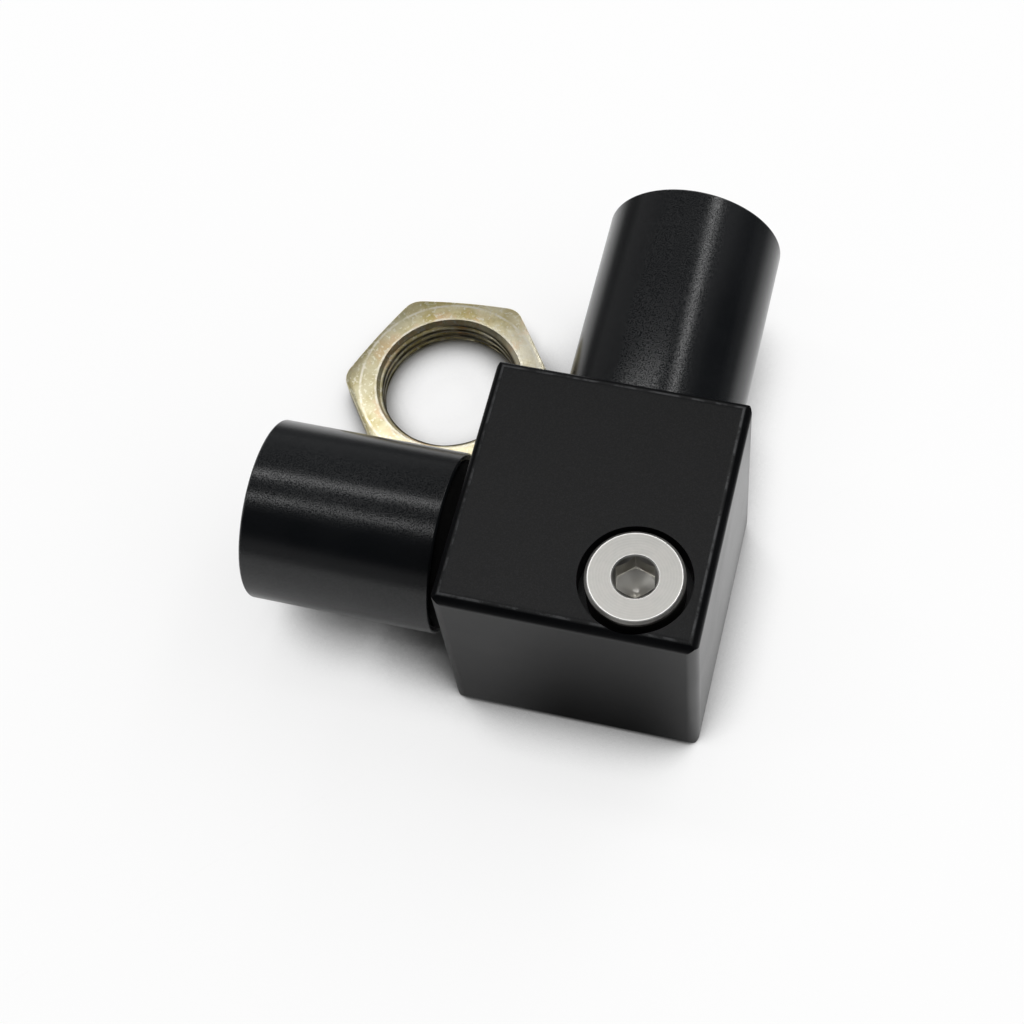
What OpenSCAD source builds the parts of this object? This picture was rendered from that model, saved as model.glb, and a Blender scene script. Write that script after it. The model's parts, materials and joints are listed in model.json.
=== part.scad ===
// Right angle coupler: a square block that joins two round socket arms at 90 degrees.
// The straight arm is screwed hard against the block's back face. The side arm sits on a
// washer, and a cap screw beside its spigot locks it. A thin hexagon nut lies by the block.
// Origin on the block's underside, below the point where the two arms' axes cross.
// +Z is up, +Y runs out along the straight arm, and -X along the side arm.

/* [Block] */
// Width of the block, along the side arm's axis
block_w = 35; // [33:0.5:45]
// Depth of the block, along the straight arm's axis
block_d = 36.4; // [34:0.2:45]
// Height of the block
block_h = 34.6; // [30:0.2:45]
// Rounding of the block's edges
block_edge_r = 1.5; // [0.5:0.1:2]
// Distance from the straight arm's axis to the block's right face
right_inset = 15.2; // [14:0.1:18]
// Distance from the side arm's axis to the block's front face
front_inset = 15.8; // [15:0.1:18]

/* [Arms] */
// Outer diameter of both arms
arm_d = 25.4; // [24.5:0.1:28]
// Length of the side arm's barrel, outside the block
side_arm_l = 26.9; // [24:0.1:60]
// Length of the straight arm's barrel, outside the block
straight_arm_l = 34.8; // [24:0.1:80]
// Chamfer round the arms' outer rims
arm_rim = 0.25; // [0.1:0.05:0.8]

/* [Sockets and nut thread] */
// Nominal diameter of the thread in the sockets and the nut
thread_d = 22; // [18:0.5:22]
// Pitch of that thread
thread_pitch = 1.5; // [1:0.25:2]
// Depth of each arm's socket
socket_l = 20; // [12:0.5:20]
// Length of the relief groove at the bottom of each socket
relief_l = 2.5; // [1.5:0.25:4]
// How far the mouth chamfers open past the thread's full diameter, on the radius
mouth_over = 0.1; // [0.05:0.05:0.6]

/* [Spigots] */
// Diameter of the side arm's spigot
side_spigot_d = 16; // [14:0.5:18]
// Diameter of the straight arm's spigot
straight_spigot_d = 14; // [10:0.5:18]
// Chamfer at the inner end of both spigots
spigot_chamfer = 1; // [0.5:0.25:2]
// Wall left between the two spigots' bores
bore_web = 1.6; // [1:0.1:3]
// Metal of the side spigot past the lock screw's notch
notch_end_wall = 2; // [1:0.25:3]
// Gap between a spigot's inner end and the bottom of its bore
spigot_end_gap = 0.5; // [0.2:0.1:1]
// Clearance on the radius between a spigot and its bore
spigot_fit = 0.05; // [0.02:0.01:0.1]

/* [Washer] */
// Thickness of the washer between the side arm and the block
washer_t = 2.6; // [1:0.1:4]
// Outer diameter of the washer
washer_d = 23.6; // [20:0.2:24]
// Clearance on the radius between the washer and the spigot
washer_fit = 0.2; // [0.05:0.05:0.5]

/* [Lock screw] */
// Wall between the screw's counterbore and the block's front face
front_wall = 0.65; // [0.6:0.05:1.2]
// Wall between the screw's counterbore and the block's right face
right_wall = 2.2; // [1.5:0.1:4]
// Nominal diameter of the screw
screw_d = 8; // [6:0.5:8]
// Diameter of the screw's low round head
head_d = 13; // [12:0.1:13.6]
// Height of the head
head_h = 5; // [4.5:0.1:6]
// Chamfer round the top of the head
head_chamfer = 0.4; // [0.2:0.05:0.8]
// How far the head stands proud of the block
head_proud = 0.9; // [0:0.1:1.5]
// Width across flats of the hexagon socket in the head
key_af = 5; // [4:0.5:6]
// Depth of the hexagon socket's flats
key_depth = 3.4; // [2.5:0.1:3.8]
// Diameter of the round mouth of the hexagon socket
key_mouth_d = 6.2; // [5.8:0.1:8]
// Direction that one corner of the hexagon socket points, from +X towards +Y
key_turn = 41.7; // [0:0.1:60]
// Diameter of the counterbore that the head sits in
counterbore_d = 15; // [14.5:0.1:15]
// Clearance on the radius between the screw and the plain part of its hole
screw_clearance = 0.3; // [0.1:0.05:0.5]
// Clearance on the radius between the screw and the threaded part of its hole
thread_fit = 0.05; // [0.02:0.01:0.1]
// Gap between the screw's tip and the block's underside
screw_tip_gap = 1; // [0.5:0.25:4]
// Chamfer at the screw's tip
screw_tip_chamfer = 0.8; // [0.4:0.1:1.2]
// Chamfer round the threaded hole's mouth in the block's underside
hole_chamfer = 0.5; // [0.2:0.1:0.8]

/* [Lock nut] */
// Width across flats of the nut
nut_af = 28.6; // [26:0.1:32]
// Thickness of the nut
nut_t = 5.4; // [4:0.1:10]
// Diameter that the nut's six upright edges are turned down to
nut_turned_d = 32.2; // [31:0.1:33]
// Width of the round bearing face, as a share of the width across flats
bearing_share = 0.95; // [0.9:0.01:0.99]
// Gap between the nut's turned edges and the corner of the block's outline
nut_gap = 0.6; // [0.1:0.1:20]
// Bearing of the nut from the block's back left corner, from +X towards +Y
nut_bearing = 140.9; // [110:0.1:160]
// Direction that one flat of the nut faces, from +X towards +Y
nut_turn = 95.7; // [60:0.1:120]

/* [Hidden] */

// Facets of round forms in the preview
round_fn = 96;
// Overlap of cutting shapes past the faces that they open
cut_over = 1;
// Slope of a nut's corner chamfers, from the bearing face
corner_slope = 15;
// Slope of the drill point under the hexagon socket, from the horizontal
drill_slope = 31;
// A hexagon's corner circle, as a share of its width across flats
hex_corner = 1 / (2 * cos(30));
// Height of an internal thread, as a share of its pitch
thread_share = 0.5413;

// Faces of the block
left_x = right_inset - block_w;
front_y = -front_inset;
back_y = block_d - front_inset;
axis_z = block_h / 2;

// Socket and nut thread
thread_minor_r = thread_d / 2 - thread_share * thread_pitch;
mouth_r = thread_d / 2 + mouth_over;
mouth_depth = mouth_r - thread_minor_r;
relief_r = thread_d / 2 + mouth_over / 2;
relief_step = relief_r - thread_minor_r;

// Lock screw's axis
screw_x = right_inset - right_wall - counterbore_d / 2;
screw_y = front_y + front_wall + counterbore_d / 2;

// Bores and spigots
side_bore_r = side_spigot_d / 2 + spigot_fit;
straight_bore_r = straight_spigot_d / 2 + spigot_fit;
notch_r = screw_d / 2 + screw_clearance;
side_spigot_end_x = screw_x + notch_r + notch_end_wall;
side_bore_l = side_spigot_end_x + spigot_end_gap - left_x;
side_spigot_l = side_spigot_end_x - left_x + washer_t;
straight_bore_l = back_y - side_bore_r - bore_web;
straight_spigot_l = straight_bore_l - spigot_end_gap;

// Lock screw's heights and socket
head_top_z = block_h + head_proud;
head_seat_z = head_top_z - head_h;
shank_l = head_seat_z - screw_tip_gap;
key_corner_r = key_af * hex_corner;
key_mouth_r = key_mouth_d / 2;
tapped_r = screw_d / 2 + thread_fit;
tapped_top_z = axis_z - side_bore_r;

// Lock nut
nut_corner_r = nut_af * hex_corner;
turned_r = nut_turned_d / 2;
bearing_r = nut_af / 2 * bearing_share;
cone_h = (turned_r - bearing_r) * tan(corner_slope);
nut_reach = turned_r + nut_gap;
nut_x = left_x + nut_reach * cos(nut_bearing);
nut_y = back_y + nut_reach * sin(nut_bearing);

// Rectangle of w by h with rounded corners, from its lower left corner
module rounded_rectangle(w, h, r) {
    translate([r, 0]) square([w - 2 * r, h]);
    translate([0, r]) square([w, h - 2 * r]);
    for (x = [r, w - r], y = [r, h - r])
        translate([x, y]) circle(r = r, $fn = round_fn);
}

// Box with all twelve edges rounded, from its lowest corner
module rounded_box(w, d, h, r) {
    intersection() {
        linear_extrude(height = h) rounded_rectangle(w, d, r);
        translate([0, d, 0]) rotate([90, 0, 0])
            linear_extrude(height = d) rounded_rectangle(w, h, r);
        rotate([90, 0, 90])
            linear_extrude(height = w) rounded_rectangle(d, h, r);
    }
}

// Stand a shape made along +Z on the side arm's axis, with its base in the plane at x
module along_side_arm(x) {
    translate([x, 0, axis_z]) rotate([0, -90, 0]) children();
}

// Stand a shape made along +Z on the straight arm's axis, with its base in the plane at y
module along_straight_arm(y) {
    translate([0, y, axis_z]) rotate([-90, 0, 0]) children();
}

// Upright cylinder on the lock screw's axis, between two heights
module screw_cylinder(r, low, high) {
    translate([screw_x, screw_y, low]) cylinder(r = r, h = high - low, $fn = round_fn);
}

// Arm with its shoulder at z = 0, its barrel and socket above and its spigot below
module arm(barrel_l, spigot_d, spigot_l) {
    arm_r = arm_d / 2;
    spigot_r = spigot_d / 2;
    socket_bottom = barrel_l - socket_l;
    rotate_extrude($fn = round_fn) polygon([
        [0, -spigot_l],
        [spigot_r - spigot_chamfer, -spigot_l],
        [spigot_r, spigot_chamfer - spigot_l],
        [spigot_r, 0],
        [arm_r - arm_rim, 0],
        [arm_r, arm_rim],
        [arm_r, barrel_l - arm_rim],
        [arm_r - arm_rim, barrel_l],
        [mouth_r, barrel_l],
        [thread_minor_r, barrel_l - mouth_depth],
        [thread_minor_r, socket_bottom + relief_l],
        [relief_r, socket_bottom + relief_l - relief_step],
        [relief_r, socket_bottom],
        [0, socket_bottom]
    ]);
}

// Square body with a bore for each arm's spigot and the lock screw's stepped hole
module block() {
    color("#26262a") difference() {
        translate([left_x, front_y, 0]) rounded_box(block_w, block_d, block_h, block_edge_r);
        along_side_arm(left_x + side_bore_l)
            cylinder(r = side_bore_r, h = side_bore_l + cut_over, $fn = round_fn);
        along_straight_arm(back_y - straight_bore_l)
            cylinder(r = straight_bore_r, h = straight_bore_l + cut_over, $fn = round_fn);
        screw_cylinder(counterbore_d / 2, head_seat_z, block_h + cut_over);
        screw_cylinder(notch_r, tapped_top_z, head_seat_z + cut_over);
        screw_cylinder(tapped_r, -cut_over, tapped_top_z + cut_over);
        translate([screw_x, screw_y, 0]) rotate_extrude($fn = round_fn) polygon([
            [0, -cut_over],
            [tapped_r + hole_chamfer, -cut_over],
            [tapped_r + hole_chamfer, 0],
            [tapped_r, hole_chamfer],
            [0, hole_chamfer]
        ]);
    }
}

// Short arm whose spigot is notched by the lock screw
module side_arm() {
    color("#2b2b2f") difference() {
        along_side_arm(left_x - washer_t) arm(side_arm_l, side_spigot_d, side_spigot_l);
        screw_cylinder(notch_r, 0, block_h);
    }
}

// Long arm, hard against the block's back face
module straight_arm() {
    color("#2b2b2f") along_straight_arm(back_y)
        arm(straight_arm_l, straight_spigot_d, straight_spigot_l);
}

// Matt washer that the side arm's shoulder rests on
module spacer_washer() {
    bore_r = side_spigot_d / 2 + washer_fit;
    color("#101012") along_side_arm(left_x) rotate_extrude($fn = round_fn)
        translate([bore_r, 0]) square([washer_d / 2 - bore_r, washer_t]);
}

// Low head cap screw in its counterbore, down past the side arm's spigot
module lock_screw() {
    head_r = head_d / 2;
    shank_r = screw_d / 2;
    tip_z = -shank_l;
    color("#c9c8c3") translate([screw_x, screw_y, head_seat_z]) difference() {
        rotate_extrude($fn = round_fn) polygon([
            [0, tip_z],
            [shank_r - screw_tip_chamfer, tip_z],
            [shank_r, tip_z + screw_tip_chamfer],
            [shank_r, 0],
            [head_r, 0],
            [head_r, head_h - head_chamfer],
            [head_r - head_chamfer, head_h],
            [0, head_h]
        ]);
        translate([0, 0, head_h - key_depth]) rotate([0, 0, key_turn])
            cylinder(r = key_corner_r, h = key_depth + cut_over, $fn = 6);
        rotate_extrude($fn = round_fn) polygon([
            [0, head_h - key_depth - key_af / 2 * tan(drill_slope)],
            [key_af / 2, head_h - key_depth],
            [0, head_h - key_depth]
        ]);
        rotate_extrude($fn = round_fn) polygon([
            [0, head_h - key_mouth_r],
            [key_mouth_r, head_h],
            [key_mouth_r, head_h + cut_over],
            [0, head_h + cut_over]
        ]);
    }
}

// Thin hexagon nut, chamfered at its corners and at both mouths of its hole
module lock_nut() {
    color("#cfc27d") translate([nut_x, nut_y, 0]) intersection() {
        rotate([0, 0, nut_turn - 30]) cylinder(r = nut_corner_r, h = nut_t, $fn = 6);
        rotate_extrude($fn = round_fn) polygon([
            [mouth_r, 0],
            [bearing_r, 0],
            [turned_r, cone_h],
            [turned_r, nut_t - cone_h],
            [bearing_r, nut_t],
            [mouth_r, nut_t],
            [thread_minor_r, nut_t - mouth_depth],
            [thread_minor_r, mouth_depth]
        ]);
    }
}

block();
side_arm();
straight_arm();
spacer_washer();
lock_screw();
lock_nut();
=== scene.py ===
# Right angle coupler: finishes, threads, floor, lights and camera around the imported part
import json
import math
import bpy
from mathutils import Matrix, Vector


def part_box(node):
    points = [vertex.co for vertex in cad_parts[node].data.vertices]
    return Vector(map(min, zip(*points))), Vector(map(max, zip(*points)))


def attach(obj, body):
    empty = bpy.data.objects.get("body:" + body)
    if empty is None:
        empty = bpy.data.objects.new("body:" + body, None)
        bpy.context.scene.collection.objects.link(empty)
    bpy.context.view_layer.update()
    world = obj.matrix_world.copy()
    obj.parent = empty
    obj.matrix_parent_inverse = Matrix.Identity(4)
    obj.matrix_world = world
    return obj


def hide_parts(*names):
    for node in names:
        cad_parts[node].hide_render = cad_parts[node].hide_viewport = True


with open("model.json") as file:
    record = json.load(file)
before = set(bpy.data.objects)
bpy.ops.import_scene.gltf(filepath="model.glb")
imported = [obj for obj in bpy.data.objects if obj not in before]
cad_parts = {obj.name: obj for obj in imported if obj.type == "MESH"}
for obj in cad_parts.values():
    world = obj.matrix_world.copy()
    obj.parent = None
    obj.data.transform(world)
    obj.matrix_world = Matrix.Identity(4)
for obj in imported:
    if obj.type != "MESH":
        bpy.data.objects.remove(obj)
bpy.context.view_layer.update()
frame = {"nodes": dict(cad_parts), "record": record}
nodes = frame["nodes"]
record = frame["record"]
scene = bpy.context.scene
MM = 0.001

# Camera, at the photograph's viewing angle: azimuth from the front towards the right
VIEW_TARGET = Vector((-15.7, 6.4, 17.3)) * MM
VIEW_AZIMUTH = math.radians(23.72)
VIEW_ELEVATION = math.radians(63.21)
VIEW_ROLL = math.radians(10.7)
VIEW_DISTANCE = 282.1 * MM
VIEW_ANGLE = math.radians(28.34)
VIEW_CLIP = 10 * MM

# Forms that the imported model's boxes don't give, as in the part's source
THREAD_PITCH = 1.5 * MM
THREAD_MAJOR_R = 11.0 * MM
ROOT_FLAT_SHARE = 0.125
CREST_FLAT_SHARE = 0.25
RELIEF_R = 11.05 * MM
RELIEF_L = 2.5 * MM
ARM_RIM = 0.25 * MM
SPIGOT_CHAMFER = 1.0 * MM
SIDE_SPIGOT_R = 8.0 * MM
STRAIGHT_SPIGOT_R = 7.0 * MM
NOTCH_R = 4.3 * MM
NUT_AF = 28.6 * MM
NUT_TURNED_R = 16.1 * MM
NUT_BEARING_R = NUT_AF / 2 * 0.95
NUT_TURN = math.radians(95.7)
NUT_CHAMFER = math.tan(math.radians(15))
HEAD_TOP_R = 6.1 * MM
KEY_MOUTH_R = 3.05 * MM
KEY_DEPTH = 3.4 * MM

# Fineness of the turned meshes
TURN_STEPS = 144
NUT_STEPS = 360
RINGS_PER_PITCH = 12
ARM_EDGE_ROUND = 0.096 * MM
NUT_EDGE_ROUND = 0.24 * MM
EDGE_SEGMENTS = 3
SHARP_ANGLE = math.radians(28)


def mount(name):
    return next(m for m in record["mounts"] if m["name"] == name)


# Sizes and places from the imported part
core_r = mount("side_socket")["dims"]["r_mm"] * MM
socket_wall = mount("side_socket")["dims"]["length_mm"] * MM
nut_wall = mount("nut_thread")["dims"]["length_mm"] * MM
block_low, block_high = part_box("block")
side_low, side_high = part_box("side_arm")
straight_low, straight_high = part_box("straight_arm")
washer_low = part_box("spacer_washer")[0]
screw_low, screw_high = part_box("lock_screw")
nut_low, nut_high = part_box("lock_nut")
axis_z = (side_low.z + side_high.z) / 2
arm_r = (side_high.y - side_low.y) / 2
screw_axis = ((screw_low + screw_high) / 2).xy
nut_axis = Vector(mount("nut_thread")["pos_m"][:2])
nut_t = nut_high.z - nut_low.z
mouth_depth = (nut_t - nut_wall) / 2
mouth_r = core_r + mouth_depth


# Turned meshes

def value(term, angle):
    """A profile's number, or its function's value at an angle."""
    return term(angle) if callable(term) else term


def turned(name, profile, steps=TURN_STEPS, closed=False, start=0.0):
    """Mesh turned about Z. A profile point is (radius, height), and each is a number or a function of the
    angle. An open profile gets a flat cap at each end."""
    points, faces = [], []
    for radius, height in profile:
        for k in range(steps):
            angle = start + 2 * math.pi * k / steps
            r = value(radius, angle)
            points.append((r * math.cos(angle), r * math.sin(angle), value(height, angle)))
    count = len(profile)
    for i in range(count if closed else count - 1):
        a, b = i * steps, (i + 1) % count * steps
        for k in range(steps):
            m = (k + 1) % steps
            faces.append((a + k, a + m, b + m, b + k))
    if not closed:
        top = (count - 1) * steps
        faces.append(tuple(reversed(range(steps))))
        faces.append(tuple(range(top, top + steps)))
    data = bpy.data.meshes.new(name)
    data.from_pydata(points, [], faces)
    piece = bpy.data.objects.new(name, data)
    scene.collection.objects.link(piece)
    return piece


def thread_cut(height, angle):
    """How deep an internal thread is cut at a height and an angle, from 0 at its crest to 1 at its root."""
    phase = (height / THREAD_PITCH - angle / (2 * math.pi)) % 1
    away = abs(2 * phase - 1)
    return 1 - min(1, max(0, (away - ROOT_FLAT_SHARE) / (1 - ROOT_FLAT_SHARE - CREST_FLAT_SHARE)))


def threaded(low, high, mouths):
    """Profile points down a threaded wall, from high to low, with a chamfered mouth at each of mouths."""
    count = round((high - low) / THREAD_PITCH * RINGS_PER_PITCH)

    def ring(height):
        def radius(angle):
            r = core_r + (THREAD_MAJOR_R - core_r) * thread_cut(height, angle)
            return max([r] + [mouth_r - abs(height - m) for m in mouths])
        return radius, height

    return [ring(high - (high - low) * i / count) for i in range(count + 1)]


def mark_edges(piece, steps, wanted):
    """Mark for rounding each edge for which wanted(ring, step, next_ring, next_step) holds."""
    weight = piece.data.attributes.new("bevel_weight_edge", "FLOAT", "EDGE")
    for edge in piece.data.edges:
        (i, k), (j, m) = (divmod(v, steps) for v in edge.vertices)
        weight.data[edge.index].value = 1.0 if wanted(i, k, j, m) else 0.0


def finish_mesh(piece, width):
    """Round the marked edges, shade smooth between sharp edges and leave no modifier."""
    bevel = piece.modifiers.new("edges", "BEVEL")
    bevel.width = width
    bevel.segments = EDGE_SEGMENTS
    bevel.limit_method = "WEIGHT"
    apply_modifiers(piece)
    data = piece.data
    data.polygons.foreach_set("use_smooth", [True] * len(data.polygons))
    data.set_sharp_from_angle(angle=SHARP_ANGLE)


def apply_modifiers(piece):
    with bpy.context.temp_override(object=piece, active_object=piece, selected_objects=[piece]):
        for modifier in list(piece.modifiers):
            bpy.ops.object.modifier_apply(modifier=modifier.name)


def arm_profile(barrel, spigot_r, spigot):
    """Profile of an arm, with its shoulder at height 0, and the numbers of its rings to round."""
    bottom = barrel - socket_wall - mouth_depth - RELIEF_L
    relief_step = RELIEF_R - core_r
    outside = [
        (spigot_r - SPIGOT_CHAMFER, -spigot),
        (spigot_r, SPIGOT_CHAMFER - spigot),
        (spigot_r, 0),
        (arm_r - ARM_RIM, 0),
        (arm_r, ARM_RIM),
        (arm_r, barrel - ARM_RIM),
        (arm_r - ARM_RIM, barrel),
    ]
    thread = threaded(bottom + RELIEF_L, barrel, [barrel])
    inside = [
        (RELIEF_R, bottom + RELIEF_L - relief_step),
        (RELIEF_R, bottom),
    ]
    return outside + thread + inside, {3, 4, 5, 6}


def build_arm(name, axis, origin, barrel, spigot_r, spigot):
    """Arm turned about Z, then laid along axis with its shoulder's centre at origin."""
    profile, rims = arm_profile(barrel, spigot_r, spigot)
    piece = turned(name, profile)
    mark_edges(piece, TURN_STEPS, lambda i, k, j, m: i == j and i in rims)
    finish_mesh(piece, ARM_EDGE_ROUND)
    turn = Vector((0, 0, 1)).rotation_difference(axis).to_matrix().to_4x4()
    piece.data.transform(Matrix.Translation(origin) @ turn)
    return piece


def cut_notch(piece):
    """Cut the lock screw's notch in the side arm's spigot."""
    bpy.ops.mesh.primitive_cylinder_add(vertices=TURN_STEPS, radius=NOTCH_R, depth=block_high.z,
                                        location=(screw_axis.x, screw_axis.y, axis_z))
    cutter = bpy.context.object
    notch = piece.modifiers.new("notch", "BOOLEAN")
    notch.operation = "DIFFERENCE"
    notch.solver = "EXACT"
    notch.object = cutter
    apply_modifiers(piece)
    bpy.data.objects.remove(cutter)


def hexagon_r(angle):
    """Distance from the nut's axis to its side, whose six edges are rounded to the turned diameter."""
    sixth = math.pi / 3
    half = NUT_AF / 2
    off = abs((angle - NUT_TURN + sixth / 2) % sixth - sixth / 2)
    stretch = 1 / math.cos(sixth / 2)
    round_r = (half * stretch - NUT_TURNED_R) / (stretch - 1)
    middle = (half - round_r) * stretch
    tangent = math.atan(math.tan(sixth / 2) * (half - round_r) / half)
    if off <= tangent:
        return half / math.cos(off)
    aside = sixth / 2 - off
    return middle * math.cos(aside) + math.sqrt(round_r ** 2 - (middle * math.sin(aside)) ** 2)


def nut_drop(angle):
    """How far the nut's side starts from its bearing face, by the chamfer of its corners."""
    return max(0, hexagon_r(angle) - NUT_BEARING_R) * NUT_CHAMFER


def build_nut():
    """Hexagon nut with chamfered corners and a real thread, lying on the floor."""
    profile = [
        (NUT_BEARING_R, 0),
        (hexagon_r, nut_drop),
        (hexagon_r, lambda angle: nut_t - nut_drop(angle)),
        (NUT_BEARING_R, nut_t),
    ] + threaded(0, nut_t, [0, nut_t])
    piece = turned("threaded_nut", profile, NUT_STEPS, closed=True, start=NUT_TURN)
    mark_edges(piece, NUT_STEPS, lambda i, k, j, m: i == j and i in (1, 2))
    finish_mesh(piece, NUT_EDGE_ROUND)
    piece.data.transform(Matrix.Translation((nut_axis.x, nut_axis.y, 0)))
    return piece


# Shader helpers

NOISE_OFFSET = (0.37, 0.11, 0.23)


class Shader:
    """A material's node tree, with short calls for the nodes used here."""

    def __init__(self, name):
        self.material = bpy.data.materials.new(name)
        self.material.use_nodes = True
        self.tree = self.material.node_tree
        self.surface = self.tree.nodes["Principled BSDF"]
        self.place = self.add("ShaderNodeTexCoord").outputs["Object"]

    def add(self, kind, **settings):
        node = self.tree.nodes.new(kind)
        for key, setting in settings.items():
            setattr(node, key, setting)
        return node

    def feed(self, socket, source):
        if isinstance(source, bpy.types.NodeSocket):
            self.tree.links.new(source, socket)
        else:
            socket.default_value = source

    def math(self, operation, a, b=0.0, c=0.0):
        node = self.add("ShaderNodeMath", operation=operation)
        for socket, source in zip(node.inputs, (a, b, c)):
            self.feed(socket, source)
        return node.outputs[0]

    def noise(self, per_metre, detail=2.0, rough=0.5, place=None):
        node = self.add("ShaderNodeTexNoise")
        self.feed(node.inputs["Vector"], place or self.place)
        node.inputs["Scale"].default_value = per_metre
        node.inputs["Detail"].default_value = detail
        node.inputs["Roughness"].default_value = rough
        return node.outputs["Fac"]

    def range(self, source, low, high, to_low=0.0, to_high=1.0):
        """Smooth step of source, from to_low at low to to_high at high."""
        node = self.add("ShaderNodeMapRange", interpolation_type="SMOOTHSTEP")
        for socket, number in zip(node.inputs, (source, low, high, to_low, to_high)):
            self.feed(socket, number)
        return node.outputs[0]

    def mix(self, share, a, b):
        """Colour a, turned into colour b by share."""
        node = self.add("ShaderNodeMix", data_type="RGBA")
        self.feed(node.inputs["Factor"], share)
        for socket, source in ((node.inputs[6], a), (node.inputs[7], b)):
            self.feed(socket, source if isinstance(source, bpy.types.NodeSocket) else (*source, 1))
        return node.outputs[2]

    def elsewhere(self):
        """The place, moved, so that two noises of a material differ."""
        node = self.add("ShaderNodeVectorMath", operation="ADD")
        self.feed(node.inputs[0], self.place)
        node.inputs[1].default_value = NOISE_OFFSET
        return node.outputs[0]

    def xyz(self):
        """The place's coordinates, which are those of the row frame."""
        node = self.add("ShaderNodeSeparateXYZ")
        self.feed(node.inputs[0], self.place)
        return node.outputs

    def slope(self):
        """How level the surface is, from 0 where it is upright to 1 where it is level."""
        node = self.add("ShaderNodeSeparateXYZ")
        self.feed(node.inputs[0], self.add("ShaderNodeNewGeometry").outputs["Normal"])
        return self.math("ABSOLUTE", node.outputs[2])

    def from_axis(self, centre):
        """Distance from the upright axis through centre."""
        x = self.xyz()
        square = [self.math("POWER", self.math("SUBTRACT", x[i], centre[i]), 2.0) for i in (0, 1)]
        return self.math("SQRT", self.math("ADD", *square))

    def ring(self, distance, middle, full, none):
        """1 within full of the middle distance, down to 0 at none from it."""
        away = self.math("ABSOLUTE", self.math("SUBTRACT", distance, middle))
        return self.range(away, full, none, 1.0, 0.0)

    def bump(self, height, distance, normal=None):
        node = self.add("ShaderNodeBump")
        node.inputs["Strength"].default_value = 1.0
        node.inputs["Distance"].default_value = distance
        self.feed(node.inputs["Height"], height)
        if normal:
            self.feed(node.inputs["Normal"], normal)
        return node.outputs["Normal"]

    def set(self, **sockets):
        """Feed the surface's sockets, named with underscores for spaces."""
        for key, source in sockets.items():
            socket = self.surface.inputs[key.replace("_", " ")]
            self.feed(socket, (*source, 1) if isinstance(source, tuple) else source)


# Materials. Noise scales are in features per metre.

CLOUDS = 90
BLAST_GRAIN = 6000
WEAR_AND_HIGHLIGHT_BREAKS = 420
# Share of the reflection cut in the painted dark band on the block's rounded edges
DARK_BAND_CUT = 0.85
WASHER_TONES = ((0.0015, 0.0015, 0.0015), (0.003, 0.003, 0.003))
TURNING_PITCH = 0.38 * MM
TURNING_WOBBLE = 0.5 * MM
STEEL_DARK = (0.41, 0.405, 0.385)
STEEL_PALE = (0.50, 0.49, 0.465)
STEEL_RIDGE = (0.66, 0.65, 0.62)
# Painted glints, painted shade on the key's walls, a painted highlight on the key's floor and painted shade
# on the head's side
STEEL_PAINTED_GLINT = (0.98, 0.97, 0.94)
STEEL_PAINTED_KEY_SHADE = (0.12, 0.115, 0.105)
STEEL_PAINTED_KEY_LIGHT = (0.96, 0.94, 0.88)
STEEL_PAINTED_HEAD_SHADE = (0.03, 0.03, 0.03)
ZINC_STRAW = ((0.66, 0.55, 0.23), (0.95, 0.88, 0.62))
ZINC_ROSE = (0.95, 0.64, 0.38)
ZINC_OLIVE = (0.58, 0.58, 0.27)
# Painted shade on the nut's left and painted light on its right
ZINC_PAINTED_SHADE_LEFT = (0.50, 0.45, 0.26)
ZINC_PAINTED_LIGHT_RIGHT = (1.0, 0.96, 0.86)
ZINC_FLAKE = (1.0, 0.96, 0.80)
# Painted shade on the nut's sides
ZINC_PAINTED_SIDE_SHADE = (0.20, 0.18, 0.11)
# Pale rings, worn bright and partly painted highlights
ZINC_WORN_AND_GLINT = (1.0, 0.95, 0.80)
# Painted shade in the nut's thread
ZINC_PAINTED_THREAD_SHADE = (0.03, 0.026, 0.017)

# Where the worn line with its painted highlight and the rounded edge with its painted dark band start and
# end, as slope: 0 on an upright face, 1 on a level one
CREST_STARTS = (0.89, 0.93)
CREST_ENDS = (0.965, 0.985)
ROUND_STARTS = (0.12, 0.35)
ROUND_ENDS = (0.84, 0.9)


def crest_wear_and_highlight(s):
    """Mask of the thin worn line where a level face starts to round over, which is partly a painted
    highlight.
    """
    tilt = s.slope()
    return s.math("MULTIPLY", s.range(tilt, *CREST_STARTS), s.range(tilt, *CREST_ENDS, 1.0, 0.0))


def rounded_edge_dark_band(s):
    """Mask of the rounded edges between a level and an upright face, where a painted dark band cuts the
    reflection.
    """
    tilt = s.slope()
    return s.math("MULTIPLY", s.range(tilt, *ROUND_STARTS), s.range(tilt, *ROUND_ENDS, 1.0, 0.0))


def rim_edge(s, axis, end, width):
    """Mask of the outer rim at the free end of an arm that lies along X (0) or Y (1)."""
    x = s.xyz()
    across = s.math("POWER", x[1 - axis], 2.0)
    up = s.math("POWER", s.math("SUBTRACT", x[2], axis_z), 2.0)
    from_axis = s.math("SQRT", s.math("ADD", across, up))
    outside = s.range(from_axis, arm_r - width, arm_r)
    from_end = s.math("ABSOLUTE", s.math("SUBTRACT", x[axis], end))
    return s.math("MULTIPLY", outside, s.range(from_end, 0.0, width, 1.0, 0.0))


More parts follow.
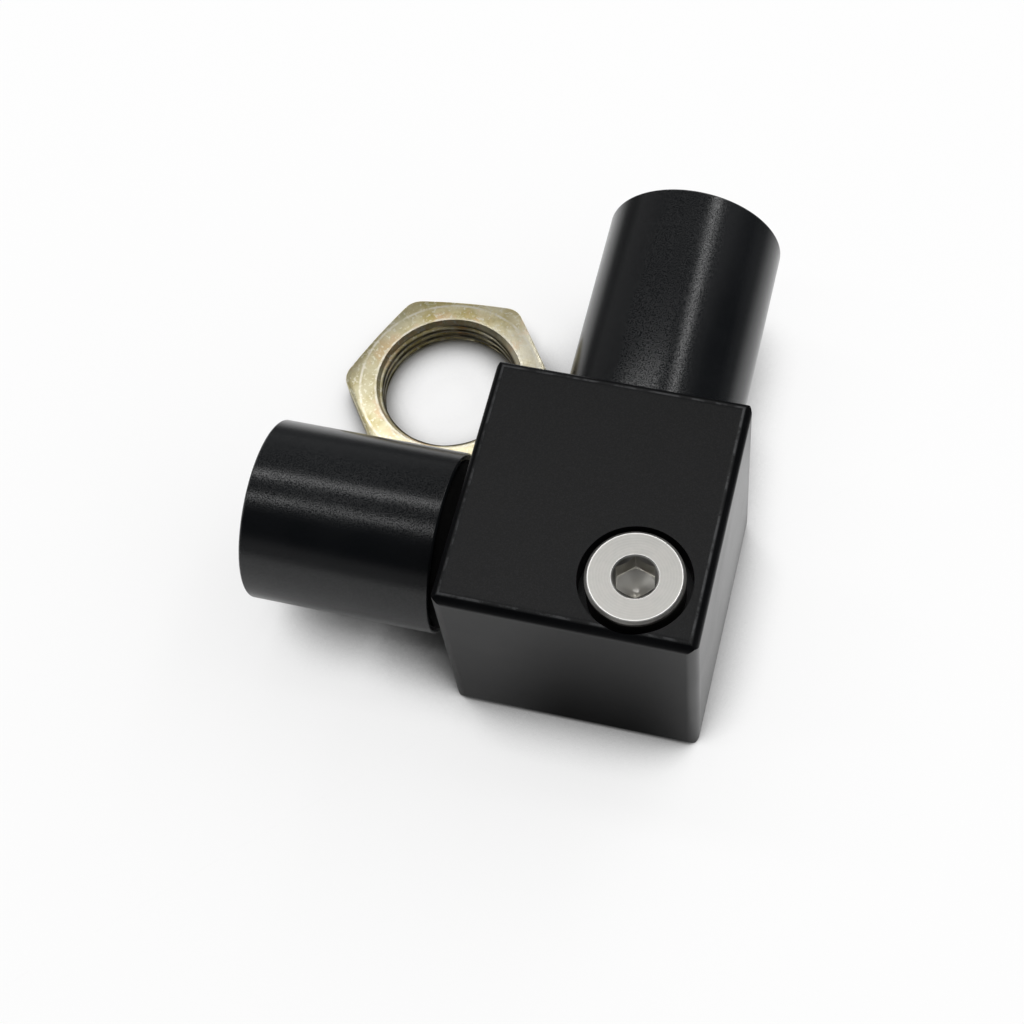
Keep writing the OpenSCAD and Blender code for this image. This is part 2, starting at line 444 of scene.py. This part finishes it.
def black_anodised(name, look, wear_and_highlight, dark_band=None):
    """Black dyed aluminium with a fine blasted grain, which glitters on level stretches, and faint clouds.
    Its two masks give the pale lines, worn bright and on the block partly a painted highlight, and the zones
    whose reflection is cut to a painted dark band."""
    s = Shader(name)
    cloud = s.noise(CLOUDS, 3.0)
    fine = s.noise(BLAST_GRAIN, 2.0, 0.6)
    broken = s.range(s.noise(WEAR_AND_HIGHLIGHT_BREAKS, 4.0, 0.65), 0.42, 0.58, 0.1, 1.0)
    tone = s.mix(s.range(cloud, 0.3, 0.7), look["dark"], look["pale"])
    tone = s.mix(s.range(fine, 0.60, 0.75, 0.0, 0.3), tone, (0.016, 0.017, 0.018))
    # Pale lines, worn bright, and on the block partly a painted highlight
    tone = s.mix(s.math("MULTIPLY", wear_and_highlight(s), broken), tone, look["wear_and_highlight"])
    sparkle = s.range(s.slope(), 0.82, 0.95, look["sparkle"] * 0.25, look["sparkle"])
    glitter = s.math("MULTIPLY", sparkle, s.range(fine, 0.40, 0.62, -1.0, 1.0))
    level = s.math("MULTIPLY_ADD", glitter, look["level"], look["level"])
    # Painted dark band: the reflection is cut on the masked zones
    if dark_band:
        level = s.math("MULTIPLY", level, s.math("MULTIPLY_ADD", dark_band(s), -DARK_BAND_CUT, 1.0))
    clouded = s.range(cloud, 0.3, 0.7, look["rough"] - 0.02, look["rough"] + 0.02)
    s.set(Base_Color=tone,
          Roughness=s.math("ADD", clouded, s.math("MULTIPLY", fine, 0.04)),
          Specular_Tint=(look["straight"],) * 3,
          Specular_IOR_Level=level,
          Normal=s.bump(fine, look["grain"] * MM))
    return s.material


def matt_black(name):
    """Matt black plastic that hardly reflects."""
    s = Shader(name)
    s.set(Base_Color=s.mix(s.noise(400, 3.0), *WASHER_TONES),
          Roughness=s.range(s.noise(900, 2.0), 0.3, 0.7, 0.8, 0.95),
          Specular_IOR_Level=0.08,
          Normal=s.bump(s.noise(3000, 2.0), 0.01 * MM))
    return s.material


def turned_steel(name, centre):
    """Bright steel with fine turning rings about an upright axis and faint stains, with painted glints at
    the head's rim and the key's mouth. The key's walls carry painted shade and its floor a painted
    highlight, and the head's side carries painted shade below the block's top."""
    s = Shader(name)
    height = s.xyz()[2]
    from_axis = s.from_axis(centre)
    wavy = s.math("MULTIPLY_ADD", s.noise(240, 2.0), TURNING_WOBBLE, from_axis)
    rings = s.math("SINE", s.math("MULTIPLY", wavy, 2 * math.pi / TURNING_PITCH))
    blotch = s.noise(260, 4.0, 0.6)
    tone = s.mix(s.range(blotch, 0.35, 0.65), STEEL_DARK, STEEL_PALE)
    tone = s.mix(s.range(rings, -1.0, 1.0, 0.0, 0.12), tone, STEEL_RIDGE)
    # Painted glints at the head's rim and the key's mouth
    rims = s.math("MAXIMUM", s.ring(from_axis, HEAD_TOP_R, 0.06 * MM, 0.16 * MM),
                  s.ring(from_axis, KEY_MOUTH_R, 0.04 * MM, 0.14 * MM))
    tone = s.mix(rims, tone, STEEL_PAINTED_GLINT)
    key_low = screw_high.z - 0.3 * MM
    key_high = screw_high.z - 0.05 * MM
    inside = s.math("MULTIPLY", s.range(from_axis, 2.8 * MM, 3.0 * MM, 1.0, 0.0),
                    s.range(height, key_low, key_high, 1.0, 0.0))
    # Painted shade on the key's walls
    tone = s.mix(s.math("MULTIPLY", inside, 0.6), tone, STEEL_PAINTED_KEY_SHADE)
    floor_z = screw_high.z - KEY_DEPTH
    # Painted highlight on the key's floor
    deep = s.math("MULTIPLY", inside, s.range(height, floor_z + 0.1 * MM, floor_z + 0.4 * MM, 1.0, 0.0))
    tone = s.mix(deep, tone, STEEL_PAINTED_KEY_LIGHT)
    # Painted shade on the head's side below the block's top
    below = s.range(height, block_high.z - 0.3 * MM, block_high.z + 0.1 * MM, 0.8, 0.0)
    outside = s.range(from_axis, 6.2 * MM, 6.4 * MM)
    tone = s.mix(s.math("MULTIPLY", below, outside), tone, STEEL_PAINTED_HEAD_SHADE)
    s.set(Base_Color=tone,
          Metallic=1.0,
          Roughness=s.range(blotch, 0.3, 0.7, 0.32, 0.40),
          Normal=s.bump(rings, 0.0012 * MM, s.bump(s.noise(1800, 3.0, 0.6), 0.004 * MM)))
    return s.material


def zinc_tone_and_painted_light(s):
    """Tone of the plate: straw, rose and olive clouds, painted shade on the left, painted light on the
    right, and pale flakes.
    """
    cloud = s.noise(190, 4.0, 0.6)
    rose = s.noise(150, 3.0, 0.6, s.elsewhere())
    tone = s.mix(s.range(cloud, 0.36, 0.62), *ZINC_STRAW)
    tone = s.mix(s.range(rose, 0.54, 0.66, 0.0, 0.6), tone, ZINC_ROSE)
    tone = s.mix(s.range(rose, 0.30, 0.44, 0.55, 0.0), tone, ZINC_OLIVE)
    across = s.math("SUBTRACT", s.xyz()[0], nut_axis.x)
    # Painted shade on the left and painted light on the right
    tone = s.mix(s.range(across, -14 * MM, -5 * MM, 0.45, 0.0), tone, ZINC_PAINTED_SHADE_LEFT)
    tone = s.mix(s.range(across, 2 * MM, 13 * MM, 0.0, 0.5), tone, ZINC_PAINTED_LIGHT_RIGHT)
    flake = s.noise(1500, 3.0, 0.65)
    return s.mix(s.range(flake, 0.54, 0.64, 0.0, 0.75), tone, ZINC_FLAKE)


def yellow_zinc(name):
    """Yellow passivated zinc plate, with painted shade on the sides, pale rings at the bearing circle and
    the hole's mouth that are worn bright and partly painted highlights, and painted shade in the thread."""
    s = Shader(name)
    tone = zinc_tone_and_painted_light(s)
    pits = s.noise(2400, 3.0, 0.6)
    from_axis = s.from_axis(nut_axis)
    # Painted shade on the nut's sides
    low = s.range(s.xyz()[2], nut_t - 1.1 * MM, nut_t - 0.7 * MM, 0.55, 0.0)
    low = s.math("MULTIPLY", low, s.range(from_axis, mouth_r + 1 * MM, mouth_r + 2 * MM))
    tone = s.mix(low, tone, ZINC_PAINTED_SIDE_SHADE)
    # Pale rings, worn bright and partly painted highlights
    worn_and_glint = s.math("MAXIMUM", s.ring(from_axis, NUT_BEARING_R, 0.05 * MM, 0.3 * MM),
                    s.ring(from_axis, mouth_r + 0.15 * MM, 0.05 * MM, 0.3 * MM))
    worn_and_glint = s.math("MULTIPLY", worn_and_glint, s.range(s.noise(700, 3.0, 0.6), 0.35, 0.6, 0.25, 1.0))
    tone = s.mix(worn_and_glint, tone, ZINC_WORN_AND_GLINT)
    # Painted shade in the nut's thread
    painted_thread_shade = s.range(from_axis, core_r + 0.1 * MM, core_r + 0.5 * MM, 0.94, 0.0)
    s.set(Base_Color=s.mix(painted_thread_shade, tone, ZINC_PAINTED_THREAD_SHADE),
          Metallic=1.0,
          Roughness=s.range(pits, 0.3, 0.7, 0.28, 0.42),
          Normal=s.bump(pits, 0.02 * MM, s.bump(s.noise(500, 3.0), 0.04 * MM)))
    return s.material


def paint(piece, material):
    piece.data.materials.clear()
    piece.data.materials.append(material)


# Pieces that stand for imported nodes

side_arm = build_arm("side_arm_threaded", Vector((-1, 0, 0)), Vector((washer_low.x, 0, axis_z)),
                     washer_low.x - side_low.x, SIDE_SPIGOT_R, side_high.x - washer_low.x)
cut_notch(side_arm)
straight_arm = build_arm("straight_arm_threaded", Vector((0, 1, 0)), Vector((0, block_high.y, axis_z)),
                         straight_high.y - block_high.y, STRAIGHT_SPIGOT_R, block_high.y - straight_low.y)
nut = build_nut()
for piece, node, slot_name in ((side_arm, "side_arm", "arm"), (straight_arm, "straight_arm", "arm"),
                               (nut, "lock_nut", "nut")):
    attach(piece, "root")
    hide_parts(node)

# Looks of the black finish: tones, the pale one worn and on the block partly a painted highlight, roughness,
# share of light reflected straight on, specular level, how much the grain glitters and how deep it is in
# millimetres
BLOCK_LOOK = {
    "dark": (0.0023, 0.0025, 0.0029),
    "pale": (0.0036, 0.0038, 0.0043),
    # The block's pale line is worn and partly a painted highlight
    "wear_and_highlight": (0.042, 0.043, 0.045),
    "rough": 0.37,
    "straight": 0.45,
    "level": 0.5,
    "sparkle": 0.10,
    "grain": 0.008,
}
ARM_LOOK = {
    "dark": (0.0040, 0.0047, 0.0056),
    "pale": (0.0056, 0.0063, 0.0073),
    "wear_and_highlight": (0.11, 0.11, 0.115),
    "rough": 0.16,
    "straight": 1.0,
    "level": 0.40,
    "sparkle": 0.65,
    "grain": 0.012,
}
RIM_WIDTH = 0.45 * MM
paint(nodes["block"], black_anodised("block_black", BLOCK_LOOK, crest_wear_and_highlight, rounded_edge_dark_band))
for arm, name, axis, end in ((side_arm, "side_arm_black", 0, side_low.x),
                             (straight_arm, "straight_arm_black", 1, straight_high.y)):
    paint(arm, black_anodised(name, ARM_LOOK, lambda s: rim_edge(s, axis, end, RIM_WIDTH)))
paint(nodes["spacer_washer"], matt_black("washer_matt"))
paint(nodes["lock_screw"], turned_steel("screw_steel", screw_axis))
paint(nut, yellow_zinc("nut_zinc"))


# Floor and lights

FLOOR_HALF = 3.0
FLOOR_DROP = 0.02 * MM
FLOOR_COLOR = (0.96, 0.96, 0.96)
FLOOR_LIFT = 0.74
# Painted contact shadow: ambient occlusion darkens the white that the camera sees
CONTACT_REACH = 15 * MM
CONTACT_DARK = 0.0
OPEN_SHARES = (0.34, 0.80)
# Painted shade on the floor in reflections, far behind the block
TABLE_MIDDLE = -10 * MM
TABLE_NEAR = 62 * MM
TABLE_FAR = 130 * MM
TABLE_PAINTED_SHADE = 0.12
TABLE_BACK = (15 * MM, 40 * MM)
# Painted shadow on the floor in reflections, close in front of the block
FRONT_MIDDLE = 1 * MM
FRONT_CORE = 4 * MM
FRONT_HALF = 20 * MM
FRONT_SIDES = 0.15
FRONT_REACH = 24 * MM
FRONT_PAINTED_SHADOW = 0.85
# Painted glow on the floor in reflections, to the block's right
RIGHT_PAINTED_GLOW = (0.22, 0.62)


def floor_material():
    """White floor. The camera sees it lifted towards plain white, apart from a soft shadow round the part,
    partly from the lamps and partly painted from ambient occlusion. In reflections it carries painted shade
    far behind and close in front of the block, and a painted glow to the block's right."""
    s = Shader("floor_white")
    rays = s.add("ShaderNodeLightPath")
    x = s.xyz()
    # Painted shade in reflections far behind the block
    aside = s.math("SUBTRACT", x[0], TABLE_MIDDLE)
    behind = s.math("MAXIMUM", x[1], 0.0)
    away = s.math("SQRT", s.math("ADD", s.math("POWER", aside, 2.0), s.math("POWER", behind, 2.0)))
    painted_reflected_shade = s.math("MULTIPLY", s.range(away, TABLE_NEAR, TABLE_FAR, 0.0, 1.0 - TABLE_PAINTED_SHADE),
                 s.range(x[1], *TABLE_BACK))
    # Painted shadow in reflections close in front of the block
    painted_front_shadow = s.math("SUBTRACT", block_low.y, x[1])
    painted_front_shadow = s.math("MULTIPLY", s.range(painted_front_shadow, 0.0, FRONT_REACH, FRONT_PAINTED_SHADOW, 0.0),
                   s.range(painted_front_shadow, -2 * MM, 0.0))
    sideways = s.math("ABSOLUTE", s.math("SUBTRACT", x[0], FRONT_MIDDLE))
    painted_front_shadow = s.math("MULTIPLY", painted_front_shadow, s.range(sideways, FRONT_CORE, FRONT_HALF, 1.0, FRONT_SIDES))
    glossy = rays.outputs["Is Glossy Ray"]
    painted_reflected_shade = s.math("MULTIPLY", s.math("MAXIMUM", painted_reflected_shade, painted_front_shadow), glossy)
    # Painted glow in reflections to the block's right
    right = s.math("MULTIPLY", s.range(x[0], block_high.x, block_high.x + 2 * MM),
                   s.range(x[1], block_low.y, block_high.y + 4 * MM, *RIGHT_PAINTED_GLOW))
    right = s.math("MULTIPLY", right, s.range(x[1], block_high.y + 6 * MM, block_high.y + 22 * MM, 1.0, 0.0))
    s.set(Base_Color=s.mix(painted_reflected_shade, FLOOR_COLOR, (0, 0, 0)),
          Roughness=1.0,
          Specular_IOR_Level=0.0,
          Emission_Color=(1, 1, 1),
          Emission_Strength=s.math("MULTIPLY", right, glossy))
    # Painted contact shadow: ambient occlusion darkens the white that the camera sees
    painted_shadow_occlusion = s.add("ShaderNodeAmbientOcclusion", samples=16)
    painted_shadow_occlusion.inputs["Distance"].default_value = CONTACT_REACH
    glow = s.add("ShaderNodeEmission")
    s.feed(glow.inputs["Strength"], s.range(painted_shadow_occlusion.outputs["AO"], *OPEN_SHARES, CONTACT_DARK, 1.0))
    mix = s.add("ShaderNodeMixShader")
    s.feed(mix.inputs[0], s.math("MULTIPLY", rays.outputs["Is Camera Ray"], FLOOR_LIFT))
    s.feed(mix.inputs[1], s.surface.outputs[0])
    s.feed(mix.inputs[2], glow.outputs[0])
    s.feed(s.tree.nodes["Material Output"].inputs["Surface"], mix.outputs[0])
    return s.material


def build_floor():
    half = FLOOR_HALF
    corners = [(-half, -half), (half, -half), (half, half), (-half, half)]
    data = bpy.data.meshes.new("floor")
    data.from_pydata([(x, y, -FLOOR_DROP) for x, y in corners], [], [(0, 1, 2, 3)])
    floor = bpy.data.objects.new("floor", data)
    scene.collection.objects.link(floor)
    floor.data.materials.append(floor_material())


LIGHT_DISTANCE = 1.2
SIDEWAYS = (1, 0, 0)
LENGTHWAYS = (0, 1, 0)


def area_light(name, direction, size_x, size_y, radiance, along):
    """Rectangle light that faces the part. along is the world direction of its first side."""
    data = bpy.data.lights.new(name, "AREA")
    data.shape = "RECTANGLE"
    data.size = size_x
    data.size_y = size_y
    data.energy = radiance * math.pi * size_x * size_y
    lamp = bpy.data.objects.new(name, data)
    scene.collection.objects.link(lamp)
    back = Vector(direction).normalized()
    side = (Vector(along) - Vector(along).dot(back) * back).normalized()
    up = back.cross(side)
    turn = Matrix((side, up, back)).transposed().to_4x4()
    lamp.matrix_world = Matrix.Translation(VIEW_TARGET + back * LIGHT_DISTANCE) @ turn


SKY_SIDE = Vector((0.72, 0.47, 0.5)).normalized()
SOFT_SKY = 1.6
SOFT_SHADE = 0.06
REFLECTED_SKY = 0.304
REFLECTED_SHADE = 0.04
FRONT_GLOW = 0.32

# Where each zone of the world starts and ends, as a component of the direction that is looked in
SOFT_LEAN = (0.1, 0.9)
FRONT_DARK = (-0.5, -0.25)
RIGHT_DARK = (0.55, 0.8)
BAND_HEIGHT = (0.25, 0.45)
BAND_FRONT = (-0.85, -0.65)


def build_world():
    """White for the camera. The soft light comes mostly from behind and the right. Reflections see an even
    grey room, dark high in front and low on the right, with a pale band low in front."""
    world = bpy.data.worlds.new("studio")
    scene.world = world
    world.use_nodes = True
    tree = world.node_tree
    tree.nodes.clear()
    add = tree.nodes.new
    link = tree.links.new
    out = add("ShaderNodeOutputWorld")
    back = add("ShaderNodeBackground")
    path = add("ShaderNodeLightPath")
    place = add("ShaderNodeTexCoord")
    split = add("ShaderNodeSeparateXYZ")
    link(place.outputs["Generated"], split.inputs[0])
    lean = add("ShaderNodeVectorMath")
    lean.operation = "DOT_PRODUCT"
    link(place.outputs["Generated"], lean.inputs[0])
    lean.inputs[1].default_value = SKY_SIDE

    def ramp(source, low, high, to_low, to_high):
        node = add("ShaderNodeMapRange")
        node.interpolation_type = "SMOOTHSTEP"
        link(source, node.inputs[0])
        for socket, number in zip(list(node.inputs)[1:5], (low, high, to_low, to_high)):
            socket.default_value = number
        return node.outputs[0]

    def blend(operation, *sources):
        node = add("ShaderNodeMath")
        node.operation = operation
        for socket, source in zip(node.inputs, sources):
            if isinstance(source, bpy.types.NodeSocket):
                link(source, socket)
            else:
                socket.default_value = source
        return node.outputs[0]

    front = ramp(split.outputs[1], *FRONT_DARK, REFLECTED_SHADE, 1.0)
    right = ramp(split.outputs[0], *RIGHT_DARK, 1.0, REFLECTED_SHADE)
    room = blend("MULTIPLY", blend("MULTIPLY", front, right), REFLECTED_SKY)
    low_band = blend("MULTIPLY", ramp(split.outputs[2], *BAND_HEIGHT, FRONT_GLOW, 0.0),
                     ramp(split.outputs[1], *BAND_FRONT, 1.0, 0.0))
    room = blend("MAXIMUM", room, low_band)
    soft = ramp(lean.outputs["Value"], *SOFT_LEAN, SOFT_SHADE * SOFT_SKY, SOFT_SKY)
    glossy = path.outputs["Is Glossy Ray"]
    seen = path.outputs["Is Camera Ray"]
    strength = blend("MULTIPLY_ADD", glossy, blend("SUBTRACT", room, soft), soft)
    strength = blend("MULTIPLY_ADD", seen, blend("SUBTRACT", 1.0, strength), strength)
    back.inputs["Color"].default_value = (1, 1, 1, 1)
    link(strength, back.inputs["Strength"])
    link(back.outputs[0], out.inputs[0])


build_floor()
build_world()
area_light("right_strip", (0.371, 0.528, 0.763), 1.0, 0.14, 4.2, LENGTHWAYS)
area_light("rear_strip", (-0.30, 0.312, 0.902), 1.15, 0.13, 4.2, SIDEWAYS)
area_light("top_strip", (-0.28, -0.204, 0.938), 1.25, 0.10, 3.4, SIDEWAYS)


# Camera

def build_camera():
    data = bpy.data.cameras.new("camera")
    data.angle = VIEW_ANGLE
    data.clip_start = VIEW_CLIP
    camera = bpy.data.objects.new("camera", data)
    scene.collection.objects.link(camera)
    level = math.cos(VIEW_ELEVATION)
    across = math.sin(VIEW_AZIMUTH) * level
    towards = math.cos(VIEW_AZIMUTH) * level
    back = Vector((across, -towards, math.sin(VIEW_ELEVATION)))
    turn = (-back).to_track_quat("-Z", "Y").to_matrix().to_4x4()
    camera.matrix_world = (Matrix.Translation(VIEW_TARGET + back * VIEW_DISTANCE) @ turn @
                           Matrix.Rotation(-VIEW_ROLL, 4, "Z"))
    scene.camera = camera


build_camera()
scene.view_settings.view_transform = "Standard"
